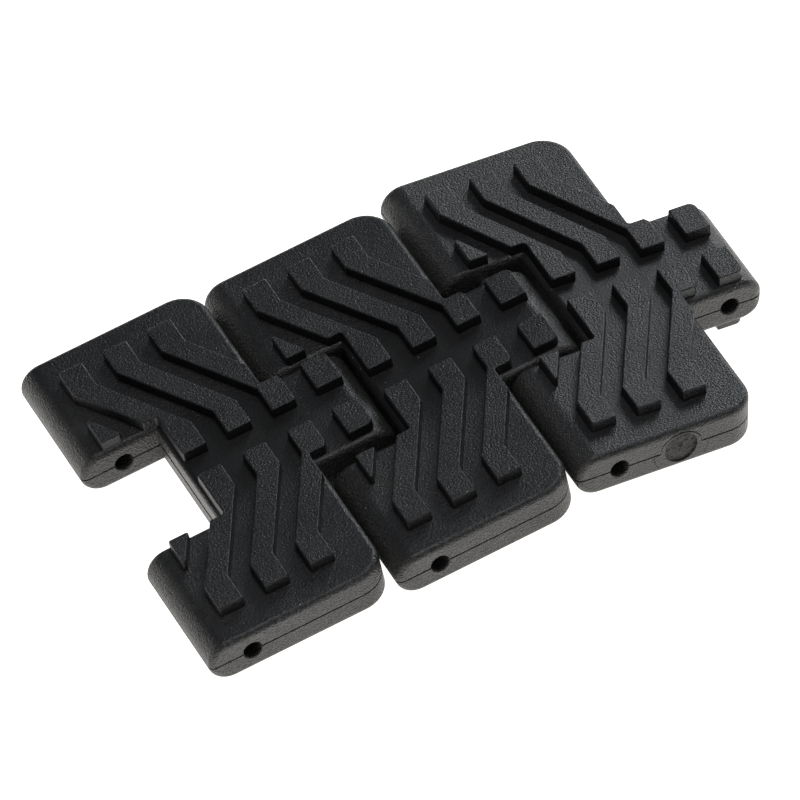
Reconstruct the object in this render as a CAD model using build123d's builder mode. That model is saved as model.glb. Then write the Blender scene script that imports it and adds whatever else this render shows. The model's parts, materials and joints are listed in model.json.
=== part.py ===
from build123d import *
import os

# A strip of three moulded links, each joined to the next by a steel pin. Millimetres.
# A link's own frame has its origin on its rear hinge axis at mid thickness: +X runs along
# the strip to the front hinge axis, Y runs across it and Z is up.

# Link
PITCH = 62.0            # rear hinge axis to front hinge axis
WIDTH = 135.0           # across the two pads
PLATE = 15.0            # plate thickness between the two treads
REAR = 14.2             # pads' rounded rear edge, behind the rear hinge axis
PAD_FRONT = 47.2        # pads' upright front edge, ahead of the rear hinge axis
TONGUE_REACH = 11.7     # tongue's rounded tip, ahead of the front hinge axis
TONGUE_WIDTH = 38.8
NOTCH_WIDTH = 44.2      # the notch between the pads takes the previous link's tongue
NOTCH_FLOOR = 12.3      # notch floor, ahead of the rear hinge axis
PAD_CORNER = 10.0       # plan radius of the pads' front outer corners
TIP_CORNER = 4.0        # plan radius of the tongue tip's corners
EDGE = 2.0              # radius of the edges all round the plate's top and bottom
OVERRUN = 0.2           # the plan outline runs this far past the rounded rear edge and tip

# Tread, on the top and the bottom of a link. The outlines are those of the ribs' roots,
# and the draft leaves their tops 0.25 narrower on each side.
TREAD = 3.5             # height of the ribs above the plate
WHOLE_RIBS = 3          # on each pad, with a corner of one more behind them
RIB_WIDTH = 8.5
RIB_PITCH = 15.2
RIB_START = 13.55       # rear edge of the first whole rib at its inner end
RIB_SWEEP = 17.6        # a rib's outer end is set back this far from its inner end
RIB_INNER = 4.65        # across the strip: inner end, first bend, second bend, outer end
RIB_BEND_IN = 15.2
RIB_BEND_OUT = 46.1
RIB_OUTER = 56.95
RIB_REAR = -5.25        # no rib goes behind this line, where the pads round off
RIB_DRAFT = 3.0         # degrees
RIB_EDGE = 0.5          # radius along the ribs' top edges
RIB_CORNER = 0.8        # plan radius of the ribs' corners
RIB_ROOT = 1.0          # the ribs are this deep in the plate
MARGIN = 1.15           # bare border between the ribs and the plate's edges
LOWER_MARGIN = 4.75     # the same beside the notch, on the bottom
TONGUE_MARGIN = 2.15
LUG_REACH = 6.3         # the tongue's lugs end this far ahead of the front hinge axis
LUG_CORNER = 2.75

# Hinge pins
BORE = 6.0              # bore through the pads and the tongue
PIN_CLEARANCE = 0.05    # on the radius
PIN_LENGTH = 118.0
PIN_CHAMFER = 0.5

TINY = 0.01             # tolerance when edges are picked by place

# Round gate mark of the moulding, on the near end face of the last link
GATE_RADIUS = 5.5
GATE_DEPTH = 0.5
GATE_X = 20.6

# How the strip lies: a low arch, two links in line and the last one dipping
SLOPE = 3.62            # degrees, nose up, of the first two links
BEND = 10.557           # degrees, nose down, at the second hinge
SIDE_SHIFT = (0.0, -2.37, -0.33)   # each link's sideways place on its loose pins


def rib_outline(start):
    """Corners of one rib on the +Y side, whose inner end starts at X = start."""
    back = start - RIB_SWEEP
    rear_edge = [(back, RIB_OUTER), (back, RIB_BEND_OUT), (start, RIB_BEND_IN), (start, RIB_INNER)]
    front_edge = [(x + RIB_WIDTH, y) for x, y in reversed(rear_edge)]
    return front_edge + rear_edge


def rectangle_between(low, high, mode=Mode.ADD):
    """Add a rectangle to the open sketch, given two opposite corners."""
    with Locations(((low[0] + high[0]) / 2, (low[1] + high[1]) / 2)):
        Rectangle(high[0] - low[0], high[1] - low[1], mode=mode)


def tread_on_top(notch_margin):
    """The tread on a link's top face, with a bare border this wide beside the notch."""
    notch_border = NOTCH_WIDTH / 2 + notch_margin
    pad_border = PAD_FRONT - MARGIN
    tongue_border = TONGUE_WIDTH / 2 - TONGUE_MARGIN
    lug_front = PITCH + LUG_REACH

    # Where the +Y half of a link can carry ribs.
    with BuildSketch() as rib_area:
        rectangle_between((RIB_REAR, notch_border), (pad_border, RIB_OUTER))
        rectangle_between((RIB_START, 0), (pad_border, RIB_OUTER))
        rectangle_between((RIB_START, 0), (lug_front, tongue_border))

    # Chevron ribs, cut back to that area, and a lug near the tongue's tip.
    with BuildSketch() as plan:
        for number in range(-1, WHOLE_RIBS):
            with BuildLine():
                Polyline(*rib_outline(RIB_START + number * RIB_PITCH), close=True)
            make_face()
        add(rib_area.sketch, mode=Mode.INTERSECT)
        rectangle_between(
            (RIB_START + WHOLE_RIBS * RIB_PITCH, RIB_INNER), (lug_front, tongue_border)
        )
        lug_tip = vertices().group_by(Axis.X)[-1].sort_by(Axis.Y)[-1]
        fillet(lug_tip, LUG_CORNER)
        lug_arc = edges().filter_by(GeomType.CIRCLE)
        fillet(vertices() - lug_arc.vertices(), RIB_CORNER)
        mirror(about=Plane.XZ)

    with BuildPart() as tread:
        with BuildSketch(Plane.XY.offset(PLATE / 2 - RIB_ROOT)):
            add(plan.sketch)
        extrude(amount=TREAD + RIB_ROOT, taper=RIB_DRAFT)
        fillet(faces().group_by(Axis.Z)[-1].edges(), RIB_EDGE)
    return tread.part


# One link: the plate in plan, rounded over at its rear edge and at the tongue's tip.
plan_rear = -REAR - OVERRUN
tongue_end = PITCH + TONGUE_REACH
with BuildPart() as link:
    with BuildSketch(Plane.XY.offset(-PLATE / 2)):
        rectangle_between((plan_rear, -WIDTH / 2), (PAD_FRONT, WIDTH / 2))
        fillet(vertices().group_by(Axis.X)[-1], PAD_CORNER)
        rectangle_between((0, -TONGUE_WIDTH / 2), (tongue_end + OVERRUN, TONGUE_WIDTH / 2))
        fillet(vertices().group_by(Axis.X)[-1], TIP_CORNER)
        rectangle_between(
            (plan_rear, -NOTCH_WIDTH / 2), (NOTCH_FLOOR, NOTCH_WIDTH / 2), mode=Mode.SUBTRACT
        )
    extrude(amount=PLATE)
    with BuildSketch(Plane.XZ):
        with Locations(((tongue_end - REAR) / 2, 0)):
            SlotOverall(REAR + tongue_end, PLATE)
    extrude(amount=WIDTH, both=True, mode=Mode.INTERSECT)
    flat_edges = edges().filter_by(lambda edge: abs(abs(edge.center().Z) - PLATE / 2) < TINY)
    tangent_lines = flat_edges.filter_by(
        lambda edge: abs(edge.center().X - PLATE / 2 + REAR) < TINY
        or abs(edge.center().X + PLATE / 2 - tongue_end) < TINY
    )
    fillet(flat_edges - tangent_lines, EDGE)
    add(tread_on_top(MARGIN))
    mirror(tread_on_top(LOWER_MARGIN), about=Plane.XY)
    with BuildSketch(Plane.XZ):
        with Locations((0, 0), (PITCH, 0)):
            Circle(BORE / 2)
    extrude(amount=WIDTH, both=True, mode=Mode.SUBTRACT)

# The last link is the same moulding with its gate mark on show.
with BuildPart() as marked_link:
    add(link.part)
    with BuildSketch(Plane.XZ.offset(WIDTH / 2 - GATE_DEPTH)):
        with Locations((GATE_X, 0)):
            Circle(GATE_RADIUS)
    extrude(amount=GATE_DEPTH + 1, mode=Mode.SUBTRACT)

with BuildPart() as pin:
    with BuildSketch(Plane.XZ):
        Circle(BORE / 2 - PIN_CLEARANCE)
    extrude(amount=PIN_LENGTH / 2, both=True)
    chamfer(edges(), PIN_CHAMFER)


# Each link's place: its rear hinge axis is the front hinge axis of the link before it.
slopes = (SLOPE, SLOPE, SLOPE - BEND)
chain = Location((0, 0, 0), (0, -SLOPE, 0))
places = [chain]
for slope_before, slope in zip(slopes, slopes[1:]):
    chain = chain * Location((PITCH, 0, 0), (0, slope_before - slope, 0))
    places.append(chain)
places = [Pos(0, shift, 0) * place for place, shift in zip(places, SIDE_SHIFT)]

# The row's origin is under the middle of the strip, on the surface that it stands on.
bounds = Compound([place * link.part for place in places]).bounding_box()
places = [Pos(-bounds.center().X, -bounds.center().Y, -bounds.min.Z) * place for place in places]

os.makedirs("parts", exist_ok=True)
for number, place in enumerate(places, start=1):
    is_last = number == len(places)
    with BuildPart() as moulding:
        with Locations(place):
            add(marked_link.part if is_last else link.part)
    moulding.part.label = f"link_{number}"
    export_step(moulding.part, f"parts/link_{number}.step")
    print(f"link_{number}: rear hinge axis at", place.position)

for number, place in enumerate(places[1:], start=1):
    with BuildPart() as hinge_pin:
        with Locations(place):
            add(pin.part)
    hinge_pin.part.label = f"hinge_pin_{number}"
    export_step(hinge_pin.part, f"parts/hinge_pin_{number}.step")
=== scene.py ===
import bmesh
import bpy
import json
import math
from mathutils import Matrix, Vector, noise


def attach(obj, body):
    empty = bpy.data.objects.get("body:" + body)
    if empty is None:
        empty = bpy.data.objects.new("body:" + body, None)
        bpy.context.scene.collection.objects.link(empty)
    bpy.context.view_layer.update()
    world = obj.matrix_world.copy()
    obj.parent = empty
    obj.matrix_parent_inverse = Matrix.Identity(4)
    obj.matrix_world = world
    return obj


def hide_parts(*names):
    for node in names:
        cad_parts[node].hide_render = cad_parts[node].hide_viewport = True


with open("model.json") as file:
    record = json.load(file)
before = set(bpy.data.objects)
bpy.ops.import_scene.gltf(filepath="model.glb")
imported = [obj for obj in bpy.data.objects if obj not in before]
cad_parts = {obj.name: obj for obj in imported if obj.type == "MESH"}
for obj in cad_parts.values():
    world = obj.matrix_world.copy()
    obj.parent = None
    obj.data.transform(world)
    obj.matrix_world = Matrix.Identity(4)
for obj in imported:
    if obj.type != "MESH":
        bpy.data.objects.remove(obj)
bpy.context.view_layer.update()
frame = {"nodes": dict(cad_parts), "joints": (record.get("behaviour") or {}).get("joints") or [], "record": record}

MM = 0.001

# A link's dimensions, in millimetres, in its own frame: origin on the rear hinge axis at mid
# thickness, +X along the strip to the front hinge axis, Z up.
WIDTH = 135.0
REAR = 14.2
PAD_FRONT = 47.2
TIP = 73.7
TONGUE_WIDTH = 38.8
NOTCH_WIDTH = 44.2
NOTCH_FLOOR = 12.3
PAD_CORNER = 10.0
TIP_CORNER = 4.0
EDGE = 2.0
PITCH = 62.0
BORE_RADIUS = 3.0

# Parting line: a narrow V all round the link at mid thickness. The tube that cuts it stands
# out of the surface by SEAM_OVER, and is SEAM_FLARE high there on each side of the line.
SEAM_DEPTH = 0.9
SEAM_OVER = 0.3
SEAM_FLARE = 0.36
ARC_STEPS = 10          # in each rounded corner of an outline

# The parting line is a wider groove along the notch floor
GROOVE_DEPTH = 1.6
GROOVE_FLARE = 0.8
GROOVE_MARGIN = 0.4     # bare wall at each end of it

# Bore mouths are slightly belled
BELL = 0.35
BELL_SPREAD = 0.3
BELL_OVERLAP = 0.02
BELL_STEPS = 40

# Gate mark on the last link's near end face: a round recess, with the torn gate in it
GATE_X = 20.6
GATE_RADIUS = 5.5
GATE_DEPTH = 0.5
GATE_SUNK = 0.04        # a point this far in from the end face is inside the mark
GATE_SLACK = 0.1

# The parting line climbs over the gate mark
CLIMB_HEIGHT = 5.9
CLIMB_HALF_WIDTH = 7.0
CLIMB_FROM_END = 3.0    # and only this near to the near end face
STATION_REACH = 9.0
STATION_STEP = 0.5

# A faint ring beside the gate mark, below the parting line
RING_RADIUS = 9.2
RING_CUT = 0.14
RING_FLARE = 0.2
RING_ARCS = ((-34, -5), (185, 214))     # degrees

# The torn gate's face, in rings from its middle
TORN_RADIUS = GATE_RADIUS * 0.93
TORN_RINGS = 9
TORN_STEPS = 56
TORN_WANDER = 0.05      # how far its outline strays from a circle, as a part of its radius
TORN_MEAN = 0.18        # its height over the recess's floor, and the limits of its crumples
TORN_CRUMPLE = 0.34
TORN_LOW = 0.02
TORN_HIGH = 0.44
TORN_ROOT = 0.25        # its rim is this deep in the recess's floor
TORN_BRIM = 0.06        # mean height of the ring inside the rim
TORN_SCALE = 0.6        # crumples a millimetre
TORN_NOISE = (0.6, 2.1, 5)      # their dimension, lacunarity and octaves
TORN_SEED = 3.3
WANDER_SCALE = 2
WANDER_SEED = 7.1


def mount(name):
    """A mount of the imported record, as a point in metres."""
    for entry in frame["record"]["mounts"]:
        if entry["name"] == name:
            return Vector(entry["pos_m"])


def joint(name):
    """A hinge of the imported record, as a point in metres."""
    for entry in frame["joints"]:
        if entry["name"] == name:
            return Vector(entry["pos_m"])


def link_frames():
    """Each link's own frame, from the hinge axes in the record."""
    axes = [mount("tail_bore"), joint("fold_1"), joint("fold_2"), mount("nose_bore")]
    frames = []
    for rear, front in zip(axes, axes[1:]):
        slope = math.atan2(front.z - rear.z, front.x - rear.x)
        frames.append(Matrix.Translation(rear) @ Matrix.Rotation(-slope, 4, "Y"))
    return frames


# ---------------------------------------------------------------- geometry in a link's frame

def plan_corners():
    """Corners of a link's plan outline, counter-clockwise, as x, y and plan radius."""
    half, inner, tongue = WIDTH / 2, NOTCH_WIDTH / 2, TONGUE_WIDTH / 2
    near = [(-REAR, -half, EDGE), (PAD_FRONT, -half, PAD_CORNER), (PAD_FRONT, -tongue, 0),
            (TIP, -tongue, TIP_CORNER), (TIP, tongue, TIP_CORNER), (PAD_FRONT, tongue, 0)]
    far = [(PAD_FRONT, half, PAD_CORNER), (-REAR, half, EDGE), (-REAR, inner, EDGE),
           (NOTCH_FLOOR, inner, 0), (NOTCH_FLOOR, -inner, 0), (-REAR, -inner, EDGE)]
    return near + far


def plan_outline(grow):
    """The plan outline moved outwards by grow, as points, with extra ones by the gate mark."""
    corners = plan_corners()
    count = len(corners)
    points = []
    for i, (x, y, radius) in enumerate(corners):
        before, after = corners[i - 1], corners[(i + 1) % count]
        into = Vector((x - before[0], y - before[1])).normalized()
        out = Vector((after[0] - x, after[1] - y)).normalized()
        outward = Vector((into.y, -into.x)) + Vector((out.y, -out.x))
        convex = into.x * out.y - into.y * out.x > 0
        corner = Vector((x, y)) + outward * grow
        bend = max(radius + (grow if convex else -grow), 0.0) if radius else 0.0
        centre = corner - outward * bend
        for step in range(ARC_STEPS + 1 if bend else 1):
            turn = math.pi / 2 * step / ARC_STEPS
            if bend:
                points.append(centre + (Vector((into.y, -into.x)) * math.cos(turn)
                                        + Vector((out.y, -out.x)) * math.sin(turn)) * bend)
            else:
                points.append(corner)
        if i == 0:
            end_face = points[-1].y
            points += [Vector((GATE_X + along, end_face)) for along in seam_stations()]
    return points


def seam_stations():
    """Places along the near end face, from the gate mark's middle, where the seam has points."""
    count = round(2 * STATION_REACH / STATION_STEP) + 1
    return [-STATION_REACH + STATION_STEP * step for step in range(count)]


def seam_height(x, y, marked):
    """How far the seam climbs over the gate mark on the last link's near end face."""
    if not marked or y > -WIDTH / 2 + CLIMB_FROM_END:
        return 0.0
    along = (x - GATE_X) / CLIMB_HALF_WIDTH
    return CLIMB_HEIGHT * math.sqrt(max(1.0 - along ** 2, 0.0))


def seam_cutter(marked):
    """A closed three-sided tube, all round the link, that cuts the parting line's V."""
    loops = []
    for grow, lift in ((-SEAM_DEPTH, 0.0), (SEAM_OVER, -SEAM_FLARE), (SEAM_OVER, SEAM_FLARE)):
        outline = plan_outline(grow)
        loops.append([(p.x, p.y, lift + seam_height(p.x, p.y, marked)) for p in outline])
    bm = bmesh.new()
    rings = [[bm.verts.new(Vector(p) * MM) for p in loop] for loop in loops]
    count = len(rings[0])
    for a, b in ((0, 1), (1, 2), (2, 0)):
        for i in range(count):
            j = (i + 1) % count
            bm.faces.new((rings[a][i], rings[a][j], rings[b][j], rings[b][i]))
    return bm


def add_frustum(bm, x, y0, y1, r0, r1):
    """A closed frustum on a line along Y through x at mid thickness."""
    turns = [2 * math.pi * k / BELL_STEPS for k in range(BELL_STEPS)]
    rings = []
    for y, r in ((y0, r0), (y1, r1)):
        circle = [Vector((x + r * math.cos(turn), y, r * math.sin(turn))) for turn in turns]
        rings.append([bm.verts.new(point * MM) for point in circle])
    for k in range(BELL_STEPS):
        n = (k + 1) % BELL_STEPS
        bm.faces.new((rings[0][k], rings[0][n], rings[1][n], rings[1][k]))
    bm.faces.new(rings[0][::-1])
    bm.faces.new(rings[1])


def bell_cutter():
    """Cones that bell out the bores' mouths."""
    bm = bmesh.new()
    pads, notch, tongue = WIDTH / 2, NOTCH_WIDTH / 2, TONGUE_WIDTH / 2
    mouths = [(0.0, pads, 1), (0.0, -pads, -1), (0.0, notch, -1), (0.0, -notch, 1),
              (PITCH, tongue, 1), (PITCH, -tongue, -1)]
    narrow, wide = BORE_RADIUS - BELL_OVERLAP, BORE_RADIUS + 2 * BELL_SPREAD
    for x, y, side in mouths:
        add_frustum(bm, x, y - side * BELL, y + side * BELL, narrow, wide)
    return bm


def add_tube(bm, sections):
    """A closed three-sided tube through sections of three points each, in millimetres."""
    rings = [[bm.verts.new(Vector(point) * MM) for point in section] for section in sections]
    for before, after in zip(rings, rings[1:]):
        for a, b in ((0, 1), (1, 2), (2, 0)):
            bm.faces.new((before[a], after[a], after[b], before[b]))
    bm.faces.new(rings[0])
    bm.faces.new(rings[-1][::-1])


def floor_groove_cutter():
    """The parting line is a wider groove along the notch floor."""
    bm = bmesh.new()
    end = NOTCH_WIDTH / 2 - GROOVE_MARGIN
    root, mouth = NOTCH_FLOOR + GROOVE_DEPTH, NOTCH_FLOOR - SEAM_OVER
    add_tube(bm, [[(root, y, 0), (mouth, y, GROOVE_FLARE), (mouth, y, -GROOVE_FLARE)]
                  for y in (-end, end)])
    return bm


def ring_cutter():
    """Two short tubes that cut the faint ring's arcs beside the gate mark."""
    bm = bmesh.new()
    corners = ((RING_RADIUS, RING_CUT), (RING_RADIUS - RING_FLARE, -RING_CUT),
               (RING_RADIUS + RING_FLARE, -RING_CUT))
    for start, end in RING_ARCS:
        sections = []
        for step in range(ARC_STEPS + 1):
            angle = math.radians(start + (end - start) * step / ARC_STEPS)
            sections.append([(GATE_X + radius * math.cos(angle), depth - WIDTH / 2,
                              radius * math.sin(angle)) for radius, depth in corners])
        add_tube(bm, sections)
    return bm


def torn_height(x, z, ring):
    """The torn gate's height over the recess's floor, at a place on one of its rings."""
    if ring == TORN_RINGS:
        return -TORN_ROOT
    crumple = noise.fractal(Vector((x * TORN_SCALE, z * TORN_SCALE, TORN_SEED)), *TORN_NOISE)
    if ring == TORN_RINGS - 1:
        return TORN_BRIM + TORN_BRIM * crumple
    return min(max(TORN_MEAN + TORN_CRUMPLE * crumple, TORN_LOW), TORN_HIGH)


def torn_gate():
    """The torn gate: a rough disc that fills part of the recess."""
    bm = bmesh.new()
    base = -WIDTH / 2 + GATE_DEPTH
    front = []
    for ring in range(TORN_RINGS + 1):
        radius = TORN_RADIUS * ring / TORN_RINGS
        row = []
        for k in range(TORN_STEPS if ring else 1):
            angle = 2 * math.pi * k / TORN_STEPS
            c, d = math.cos(angle), math.sin(angle)
            seed = Vector((c * WANDER_SCALE, d * WANDER_SCALE, WANDER_SEED))
            wander = 1 + TORN_WANDER * noise.noise(seed)
            x, z = radius * wander * c, radius * wander * d
            point = Vector((GATE_X + x, base - torn_height(x, z, ring), z))
            row.append(bm.verts.new(point * MM))
        front.append(row)
    for ring, (inner, outer) in enumerate(zip(front, front[1:])):
        for k in range(TORN_STEPS):
            n = (k + 1) % TORN_STEPS
            inside = (inner[k], inner[n]) if ring else (inner[0],)
            bm.faces.new((inside[0], outer[k], outer[n], *inside[1:]))
    bm.faces.new(front[-1][::-1])
    return bm


# ---------------------------------------------------------------- building the pieces

WELD = 1e-7
FLAT = math.cos(math.radians(0.3))      # faces this near to parallel are one flat patch
SMOOTH = math.cos(math.radians(38))     # a sharper edge than this stays sharp


def helper_object(name, bm, place):
    """A passing object in the world, from a bmesh in a link's frame."""
    bmesh.ops.recalc_face_normals(bm, faces=bm.faces)
    mesh = bpy.data.meshes.new(name)
    bm.to_mesh(mesh)
    bm.free()
    mesh.transform(place)
    helper = bpy.data.objects.new(name, mesh)
    bpy.context.scene.collection.objects.link(helper)
    return helper


def boolean(target, helper, operation):
    """Apply one boolean to the target's mesh and delete the helper."""
    modifier = target.modifiers.new("cut", "BOOLEAN")
    modifier.operation = operation
    modifier.solver = "MANIFOLD"
    modifier.object = helper
    depsgraph = bpy.context.evaluated_depsgraph_get()
    result = bpy.data.meshes.new_from_object(target.evaluated_get(depsgraph))
    target.modifiers.clear()
    old = target.data
    target.data = result
    bpy.data.meshes.remove(old)
    bpy.data.objects.remove(helper)


def moulded_link(number, place, material):
    """One link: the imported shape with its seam, belled bores and, on the last, its gate mark."""
    node = frame["nodes"][f"link_{number}"]
    marked = number == 3
    bm = bmesh.new()
    bm.from_mesh(node.data)
    bmesh.ops.remove_doubles(bm, verts=bm.verts, dist=WELD)
    mesh = bpy.data.meshes.new(f"moulding_{number}")
    bm.to_mesh(mesh)
    bm.free()
    piece = bpy.data.objects.new(f"moulding_{number}", mesh)
    bpy.context.scene.collection.objects.link(piece)
    cutters = [seam_cutter(marked), floor_groove_cutter(), bell_cutter()]
    if marked:
        cutters.append(ring_cutter())
    for cutter in cutters:
        boolean(piece, helper_object("cutter", cutter, place), "DIFFERENCE")
    if marked:
        boolean(piece, helper_object("gate", torn_gate(), place), "UNION")
    piece.data.materials.clear()
    piece.data.materials.append(material)
    store_places(piece.data, place, marked)
    smooth_normals(piece.data)
    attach(piece, f"link_{number}")
    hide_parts(f"link_{number}")


def flat_patches(bm):
    """Each face's patch of coplanar neighbours, as its number, and the patches' areas in mm2."""
    patch = [-1] * len(bm.faces)
    areas = []
    for seed in bm.faces:
        if patch[seed.index] >= 0:
            continue
        patch[seed.index] = len(areas)
        area, queue = 0.0, [seed]
        while queue:
            face = queue.pop()
            area += face.calc_area()
            for edge in face.edges:
                for other in edge.link_faces:
                    if patch[other.index] < 0 and other.normal.dot(seed.normal) > FLAT:
                        patch[other.index] = len(areas)
                        queue.append(other)
        areas.append(area / MM ** 2)
    return patch, areas


def smooth_fans(vert):
    """The faces round a point, in groups with no sharp edge inside a group."""
    waiting = list(vert.link_faces)
    while waiting:
        fan, queue = [], [waiting.pop()]
        while queue:
            face = queue.pop()
            fan.append(face)
            for edge in face.edges:
                if vert in edge.verts:
                    for other in edge.link_faces:
                        if other in waiting and other.normal.dot(face.normal) > SMOOTH:
                            waiting.remove(other)
                            queue.append(other)
        yield fan


def smooth_normals(mesh):
    """Smooth shading whose normals stay true on flat faces beside small rounded edges.

    Where faces meet, each flat patch counts once, by the square of its area.
    """
    bm = bmesh.new()
    bm.from_mesh(mesh)
    bm.faces.ensure_lookup_table()
    patch, areas = flat_patches(bm)
    corner = {}
    for face in bm.faces:
        for loop in face.loops:
            corner[face.index, loop.vert.index] = len(corner)
    normals = [None] * len(corner)
    for vert in bm.verts:
        for fan in smooth_fans(vert):
            by_patch = {patch[face.index]: face.normal for face in fan}
            total = Vector()
            for number, normal in by_patch.items():
                total += normal * areas[number] ** 2
            total = total.normalized() if total.length > 0 else fan[0].normal.copy()
            for face in fan:
                normals[corner[face.index, vert.index]] = total
    bm.free()
    mesh.shade_smooth()
    mesh.normals_split_custom_set(normals)


def store_places(mesh, place, marked):
    """Keep each point's place in its link's frame, in millimetres, and 1 inside the gate mark."""
    inverse = place.inverted()
    mesh.attributes.new("place", "FLOAT_VECTOR", "POINT")
    mesh.attributes.new("gate", "FLOAT", "POINT")
    own, gate = mesh.attributes["place"], mesh.attributes["gate"]
    for vertex in mesh.vertices:
        x, y, z = (inverse @ vertex.co) / MM
        own.data[vertex.index].vector = (x, y, z)
        sunk = GATE_SUNK < y + WIDTH / 2 < GATE_DEPTH + GATE_SLACK
        inside = math.hypot(x - GATE_X, z) < GATE_RADIUS + GATE_SLACK
        gate.data[vertex.index].value = float(marked and sunk and inside)


# ---------------------------------------------------------------- materials

# Depths in metres, and texture scales in cells a metre
GRAIN_DEPTH = 0.00021
GRAIN_SCALE = 1650.0
PEBBLE_SCALE = 1450.0
FINE_SCALE = 4200.0
BLOTCH_SCALE = 45.0
CRUMPLE_SCALE = 420.0
DUST_SCALE = 300.0
DUST_RADIUS = 0.055     # a speck's, as a part of a cell
DUST_SHARE = 0.18       # the part of the cells that hold a speck
LINES_SCALE = (2500.0, 60.0, 2500.0)
LINES_DEPTH = 0.00003
SPOTS_SCALE = 180.0

# Zones of a link: heights over mid thickness, then distances across and along, in millimetres
SIDE_TO_PLATE = (5.6, 7.3)
PLATE_TO_RIB = (7.6, 9.0)
PLATE_TO_TOP = (7.6, 10.5)
SPINE_TO_PAD = (8.0, 26.0)
SPINE_TO_TONGUE = (46.0, 54.0)

# Black plastic, darker in the grain's hollows and lighter on its crests: painted shade and painted light that
# follow the relief
PLASTIC_WITH_PIT_SHADE = ((0.006, 0.0062, 0.0072), (0.026, 0.0263, 0.0285))
# Upright sides: a fine speckle, near black in the grain's hollows and pale on its crests: painted shade and
# painted glints
SIDE_PIT_SHADE_AND_GLINTS = ((0.001, 0.001, 0.001), (0.105, 0.101, 0.094))
# Inside the gate mark: near black, darkest in its crumples' hollows: painted shade of the shallow recess and its
# crumples
TORN_GATE_PAINTED_SHADE = ((0.001, 0.001, 0.001), (0.02, 0.018, 0.016))
WORN = (0.031, 0.030, 0.028)
# Near black along the middle of the plate: painted shade of the recessed web between the pads
SPINE_PAINTED_SHADE = (0.004, 0.004, 0.0045)
DUST = (0.42, 0.41, 0.39)
STEEL = ((0.25, 0.24, 0.23), (0.46, 0.46, 0.47))


def node_at(tree, kind, **inputs):
    """A node with some of its inputs set."""
    node = tree.nodes.new(kind)
    for name, value in inputs.items():
        node.inputs[name.replace("_", " ")].default_value = value
    return node


def ramp(tree, source, low, high, colours):
    """A two-colour ramp from a value, between two positions."""
    node = tree.nodes.new("ShaderNodeValToRGB")
    for element, position, colour in zip(node.color_ramp.elements, (low, high), colours):
        element.position = position
        element.color = (*colour, 1)
    tree.links.new(source, node.inputs["Fac"])
    return node.outputs["Color"]


def remap(tree, source, low, high, to_low, to_high):
    """A value moved from one range to another, and held inside it."""
    node = tree.nodes.new("ShaderNodeMapRange")
    names = ("From Min", "From Max", "To Min", "To Max")
    for name, value in zip(names, (low, high, to_low, to_high)):
        node.inputs[name].default_value = value
    tree.links.new(source, node.inputs["Value"])
    return node.outputs["Result"]


def arithmetic(tree, operation, first, second=0.0):
    """One sum on values that are numbers or outputs of nodes."""
    node = tree.nodes.new("ShaderNodeMath")
    node.operation = operation
    for socket, value in zip(node.inputs, (first, second)):
        if isinstance(value, (int, float)):
            socket.default_value = value
        else:
            tree.links.new(value, socket)
    return node.outputs["Value"]


def mix_colour(tree, factor, first, second):
    """A mix of two colours, each a tuple or the output of a node."""
    node = tree.nodes.new("ShaderNodeMix")
    node.data_type = "RGBA"
    tree.links.new(factor, node.inputs["Factor"])
    for name, value in (("A", first), ("B", second)):
        socket = [i for i in node.inputs if i.name == name and i.type == "RGBA"][0]
        if isinstance(value, tuple):
            socket.default_value = (*value, 1)
        else:
            tree.links.new(value, socket)
    return [o for o in node.outputs if o.type == "RGBA"][0]


def separate_red(tree, colour):
    """The red part of a colour, which is a Voronoi cell's own random number."""
    node = tree.nodes.new("ShaderNodeSeparateColor")
    tree.links.new(colour, node.inputs["Color"])
    return node.outputs["Red"]


def attribute(tree, name, output):
    """An attribute of the mesh."""
    node = tree.nodes.new("ShaderNodeAttribute")
    node.attribute_name = name
    return node.outputs[output]


def new_material(name):
    """A material, its node tree and its shader."""
    material = bpy.data.materials.new(name)
    material.use_nodes = True
    return material, material.node_tree, material.node_tree.nodes["Principled BSDF"]


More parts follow.
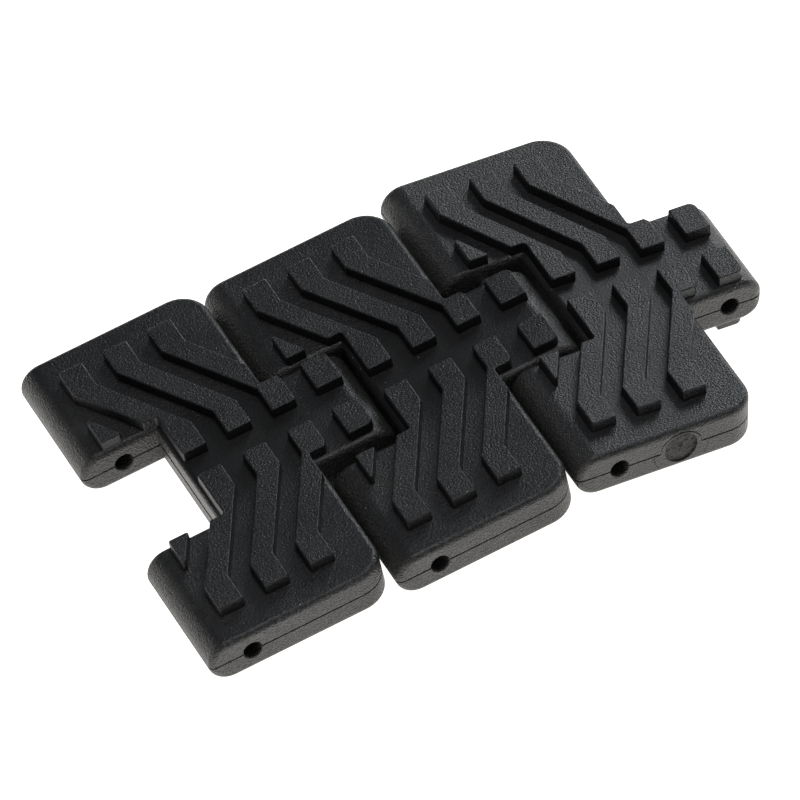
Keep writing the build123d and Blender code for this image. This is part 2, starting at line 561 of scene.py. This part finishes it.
def moulding_material():
    """Black moulded plastic with a leather grain, with painted shade in the grain's hollows and painted light on
    its crests.

    The grain is deepest on the upright sides, where its painted shade in the hollows and painted glints on the
    crests are strongest, and it is smoother along the middle of the plate, which is darkened there with painted
    shade.
    """
    material, tree, shader = new_material("moulding")
    links = tree.links
    where = tree.nodes.new("ShaderNodeTexCoord").outputs["Object"]
    own = node_at(tree, "ShaderNodeSeparateXYZ")
    links.new(attribute(tree, "place", "Vector"), own.inputs["Vector"])
    along = own.outputs["X"]
    across = arithmetic(tree, "ABSOLUTE", own.outputs["Y"])
    height = arithmetic(tree, "ABSOLUTE", own.outputs["Z"])
    gate = attribute(tree, "gate", "Fac")

    # Leather grain: pebbles about 0.7 mm across, broken up by finer noise
    noise_kind, cell_kind = "ShaderNodeTexNoise", "ShaderNodeTexVoronoi"
    grain = node_at(tree, noise_kind, Scale=GRAIN_SCALE, Detail=2.0, Roughness=0.55)
    pebbles = node_at(tree, cell_kind, Scale=PEBBLE_SCALE)
    pebbles.feature = "SMOOTH_F1"
    pebbles.inputs["Smoothness"].default_value = 0.35
    fine = node_at(tree, noise_kind, Scale=FINE_SCALE, Detail=2.0)
    blotch = node_at(tree, noise_kind, Scale=BLOTCH_SCALE, Detail=5.0, Roughness=0.6)
    dust = node_at(tree, cell_kind, Scale=DUST_SCALE)
    crumple = node_at(tree, noise_kind, Scale=CRUMPLE_SCALE, Detail=4.0, Distortion=1.5)
    for texture in (grain, pebbles, fine, blotch, dust, crumple):
        links.new(where, texture.inputs["Vector"])
    grain, fine, blotch, crumple = (node.outputs["Fac"] for node in (grain, fine, blotch, crumple))

    # Zones
    side = remap(tree, height, *SIDE_TO_PLATE, 1.0, 0.0)
    low = remap(tree, height, *PLATE_TO_RIB, 1.0, 0.0)
    spine = arithmetic(tree, "MULTIPLY", remap(tree, across, *SPINE_TO_PAD, 1.0, 0.0),
                       arithmetic(tree, "SUBTRACT", low, side))
    spine = arithmetic(tree, "MULTIPLY", spine, remap(tree, along, *SPINE_TO_TONGUE, 1.0, 0.45))

    # Relief
    depth = arithmetic(tree, "ADD", remap(tree, height, *PLATE_TO_TOP, 0.95, 1.15),
                       arithmetic(tree, "MULTIPLY", side, 1.7))
    depth = arithmetic(tree, "MULTIPLY", depth, remap(tree, spine, 0.0, 1.0, 1.0, 0.35))
    patchy = remap(tree, blotch, 0.35, 0.65, 0.75, 1.15)
    relief = arithmetic(tree, "SUBTRACT", grain,
                        arithmetic(tree, "MULTIPLY", pebbles.outputs["Distance"], 0.55))
    relief = arithmetic(tree, "ADD", relief, arithmetic(tree, "MULTIPLY", fine, 0.3))
    relief = arithmetic(tree, "MULTIPLY", relief, arithmetic(tree, "MULTIPLY", depth, patchy))
    crumpled = arithmetic(tree, "MULTIPLY", crumple, arithmetic(tree, "MULTIPLY", gate, 6.0))
    bump = node_at(tree, "ShaderNodeBump", Strength=1.0, Distance=GRAIN_DEPTH)
    links.new(arithmetic(tree, "ADD", relief, crumpled), bump.inputs["Height"])
    links.new(bump.outputs["Normal"], shader.inputs["Normal"])

    # Colour: the plastic's black, with painted shade in the grain's hollows and painted light on its crests
    colour = mix_colour(tree, side, ramp(tree, grain, 0.38, 0.72, PLASTIC_WITH_PIT_SHADE),
                        ramp(tree, fine, 0.42, 0.66, SIDE_PIT_SHADE_AND_GLINTS))
    colour = mix_colour(tree, remap(tree, blotch, 0.5, 0.75, 0.0, 0.4), colour, WORN)
    # Painted shade: the recessed web along the middle of the plate is darkened
    colour = mix_colour(tree, arithmetic(tree, "MULTIPLY", spine, 0.8), colour, SPINE_PAINTED_SHADE)
    # Painted shade inside the gate mark, darkest in the hollows of its crumples
    colour = mix_colour(tree, gate, colour, ramp(tree, crumple, 0.4, 0.65, TORN_GATE_PAINTED_SHADE))
    near = arithmetic(tree, "LESS_THAN", dust.outputs["Distance"], DUST_RADIUS)
    chosen = arithmetic(tree, "GREATER_THAN", separate_red(tree, dust.outputs["Color"]),
                        1.0 - DUST_SHARE)
    colour = mix_colour(tree, arithmetic(tree, "MULTIPLY", near, chosen), colour, DUST)
    links.new(colour, shader.inputs["Base Color"])
    rough = arithmetic(tree, "ADD", remap(tree, blotch, 0.3, 0.7, 0.33, 0.42),
                       remap(tree, fine, 0.3, 0.7, -0.05, 0.06))
    links.new(rough, shader.inputs["Roughness"])
    return material


def steel_material():
    """Drawn steel rod: fine lines along it, with a little dullness."""
    material, tree, shader = new_material("pin_steel")
    links = tree.links
    shader.inputs["Metallic"].default_value = 1.0
    where = tree.nodes.new("ShaderNodeTexCoord").outputs["Object"]
    stretch = node_at(tree, "ShaderNodeMapping", Scale=LINES_SCALE)
    lines = node_at(tree, "ShaderNodeTexNoise", Scale=1.0, Detail=4.0)
    spots = node_at(tree, "ShaderNodeTexNoise", Scale=SPOTS_SCALE, Detail=5.0)
    links.new(where, stretch.inputs["Vector"])
    links.new(stretch.outputs["Vector"], lines.inputs["Vector"])
    links.new(where, spots.inputs["Vector"])
    links.new(ramp(tree, spots.outputs["Fac"], 0.35, 0.6, STEEL), shader.inputs["Base Color"])
    rough = remap(tree, lines.outputs["Fac"], 0.0, 1.0, 0.25, 0.5)
    links.new(rough, shader.inputs["Roughness"])
    bump = node_at(tree, "ShaderNodeBump", Strength=0.3, Distance=LINES_DEPTH)
    links.new(lines.outputs["Fac"], bump.inputs["Height"])
    links.new(bump.outputs["Normal"], shader.inputs["Normal"])
    return material


# ---------------------------------------------------------------- stage, light and camera

# In metres: the floor, and the ranges along and across in which its glow starts, beyond the part that the strip
# hides at rest. Inside them the floor does not glow: a painted shadow, fixed on the floor under the strip's place
# at rest.
FLOOR_HALF = 12.0
GLOW_ALONG = (0.060, 0.076)
GLOW_ACROSS = (0.032, 0.048)
FLOOR_GLOW = 1.35
FLOOR_WHITE = (0.9, 0.9, 0.9, 1)
FLOOR_GLOW_COLOUR = (1.0, 0.975, 0.94, 1)

SKY_COLOUR = (0.9, 0.95, 1.0, 1)
SKY_STRENGTH = 0.12
SKY_SEEN = 0.95

CAMERA_AT = (-0.798255, -2.20653, 2.48052)
CAMERA_RIGHT = (0.889893, -0.442439, -0.111076)
CAMERA_FORWARD = (0.231848, 0.648377, -0.725158)
CAMERA_LENS = 506.415
CAMERA_SENSOR = 36.0
CAMERA_CLIP = (0.1, 50.0)


def lit_floor():
    """A pale light table which lights the strip's sides from below; its glow is masked in a fixed patch under the
    strip, a painted shadow.
    """
    material, tree, shader = new_material("light_table")
    shader.inputs["Base Color"].default_value = FLOOR_WHITE
    shader.inputs["Roughness"].default_value = 0.9
    shader.inputs["Emission Color"].default_value = FLOOR_GLOW_COLOUR
    where = node_at(tree, "ShaderNodeTexCoord")
    parts = node_at(tree, "ShaderNodeSeparateXYZ")
    tree.links.new(where.outputs["Object"], parts.inputs["Vector"])
    along, across = (arithmetic(tree, "ABSOLUTE", parts.outputs[axis]) for axis in "XY")
    # Painted shadow: no glow in a patch under where the strip lies at rest
    lit = arithmetic(tree, "MAXIMUM", remap(tree, along, *GLOW_ALONG, 0.0, 1.0),
                     remap(tree, across, *GLOW_ACROSS, 0.0, 1.0))
    glow = arithmetic(tree, "MULTIPLY", lit, FLOOR_GLOW)
    tree.links.new(glow, shader.inputs["Emission Strength"])
    mesh = bpy.data.meshes.new("floor")
    h = FLOOR_HALF
    mesh.from_pydata([(-h, -h, 0), (h, -h, 0), (h, h, 0), (-h, h, 0)], [], [(0, 1, 2, 3)])
    mesh.materials.append(material)
    floor = bpy.data.objects.new("floor", mesh)
    bpy.context.scene.collection.objects.link(floor)


def sky():
    """Dim cool surroundings above, which look pale where the camera sees them."""
    world = bpy.data.worlds.new("studio")
    bpy.context.scene.world = world
    world.use_nodes = True
    tree = world.node_tree
    background = tree.nodes["Background"]
    background.inputs["Color"].default_value = SKY_COLOUR
    seen = tree.nodes.new("ShaderNodeLightPath").outputs["Is Camera Ray"]
    strength = remap(tree, seen, 0.0, 1.0, SKY_STRENGTH, SKY_SEEN)
    tree.links.new(strength, background.inputs["Strength"])


def soft_light(name, at, aim, size, power, colour=(1, 1, 1)):
    """A rectangular lamp at a place, turned to a point."""
    lamp = bpy.data.lights.new(name, "AREA")
    lamp.shape = "RECTANGLE"
    lamp.size, lamp.size_y = size
    lamp.energy = power
    lamp.color = colour
    holder = bpy.data.objects.new(name, lamp)
    holder.location = at
    holder.rotation_mode = "QUATERNION"
    holder.rotation_quaternion = (Vector(aim) - Vector(at)).to_track_quat("-Z", "Y")
    bpy.context.scene.collection.objects.link(holder)


def camera():
    """The photograph's viewing angle, from far off with a long lens."""
    right = Vector(CAMERA_RIGHT).normalized()
    forward = Vector(CAMERA_FORWARD).normalized()
    up = right.cross(forward).normalized()
    lens = bpy.data.cameras.new("camera")
    lens.sensor_width = CAMERA_SENSOR
    lens.lens = CAMERA_LENS
    lens.clip_start, lens.clip_end = CAMERA_CLIP
    holder = bpy.data.objects.new("camera", lens)
    basis = Matrix((right, up, -forward)).transposed()
    holder.matrix_world = Matrix.Translation(CAMERA_AT) @ basis.to_4x4()
    bpy.context.scene.collection.objects.link(holder)
    bpy.context.scene.camera = holder


moulding = moulding_material()
for number, place in enumerate(link_frames(), start=1):
    moulded_link(number, place, moulding)
steel = steel_material()
for name in ("hinge_pin_1", "hinge_pin_2"):
    for material_slot in frame["nodes"][name].material_slots:
        material_slot.material = steel

lit_floor()
sky()
soft_light("overhead", (0.2, -0.1, 2.2), (0, 0, 0), (1.0, 0.8), 13)
soft_light("far_right", (1.7, 1.5, 1.1), (0.05, 0, 0), (1.0, 0.8), 20, (0.93, 0.97, 1.0))
camera()
bpy.context.scene.view_settings.view_transform = "Standard"
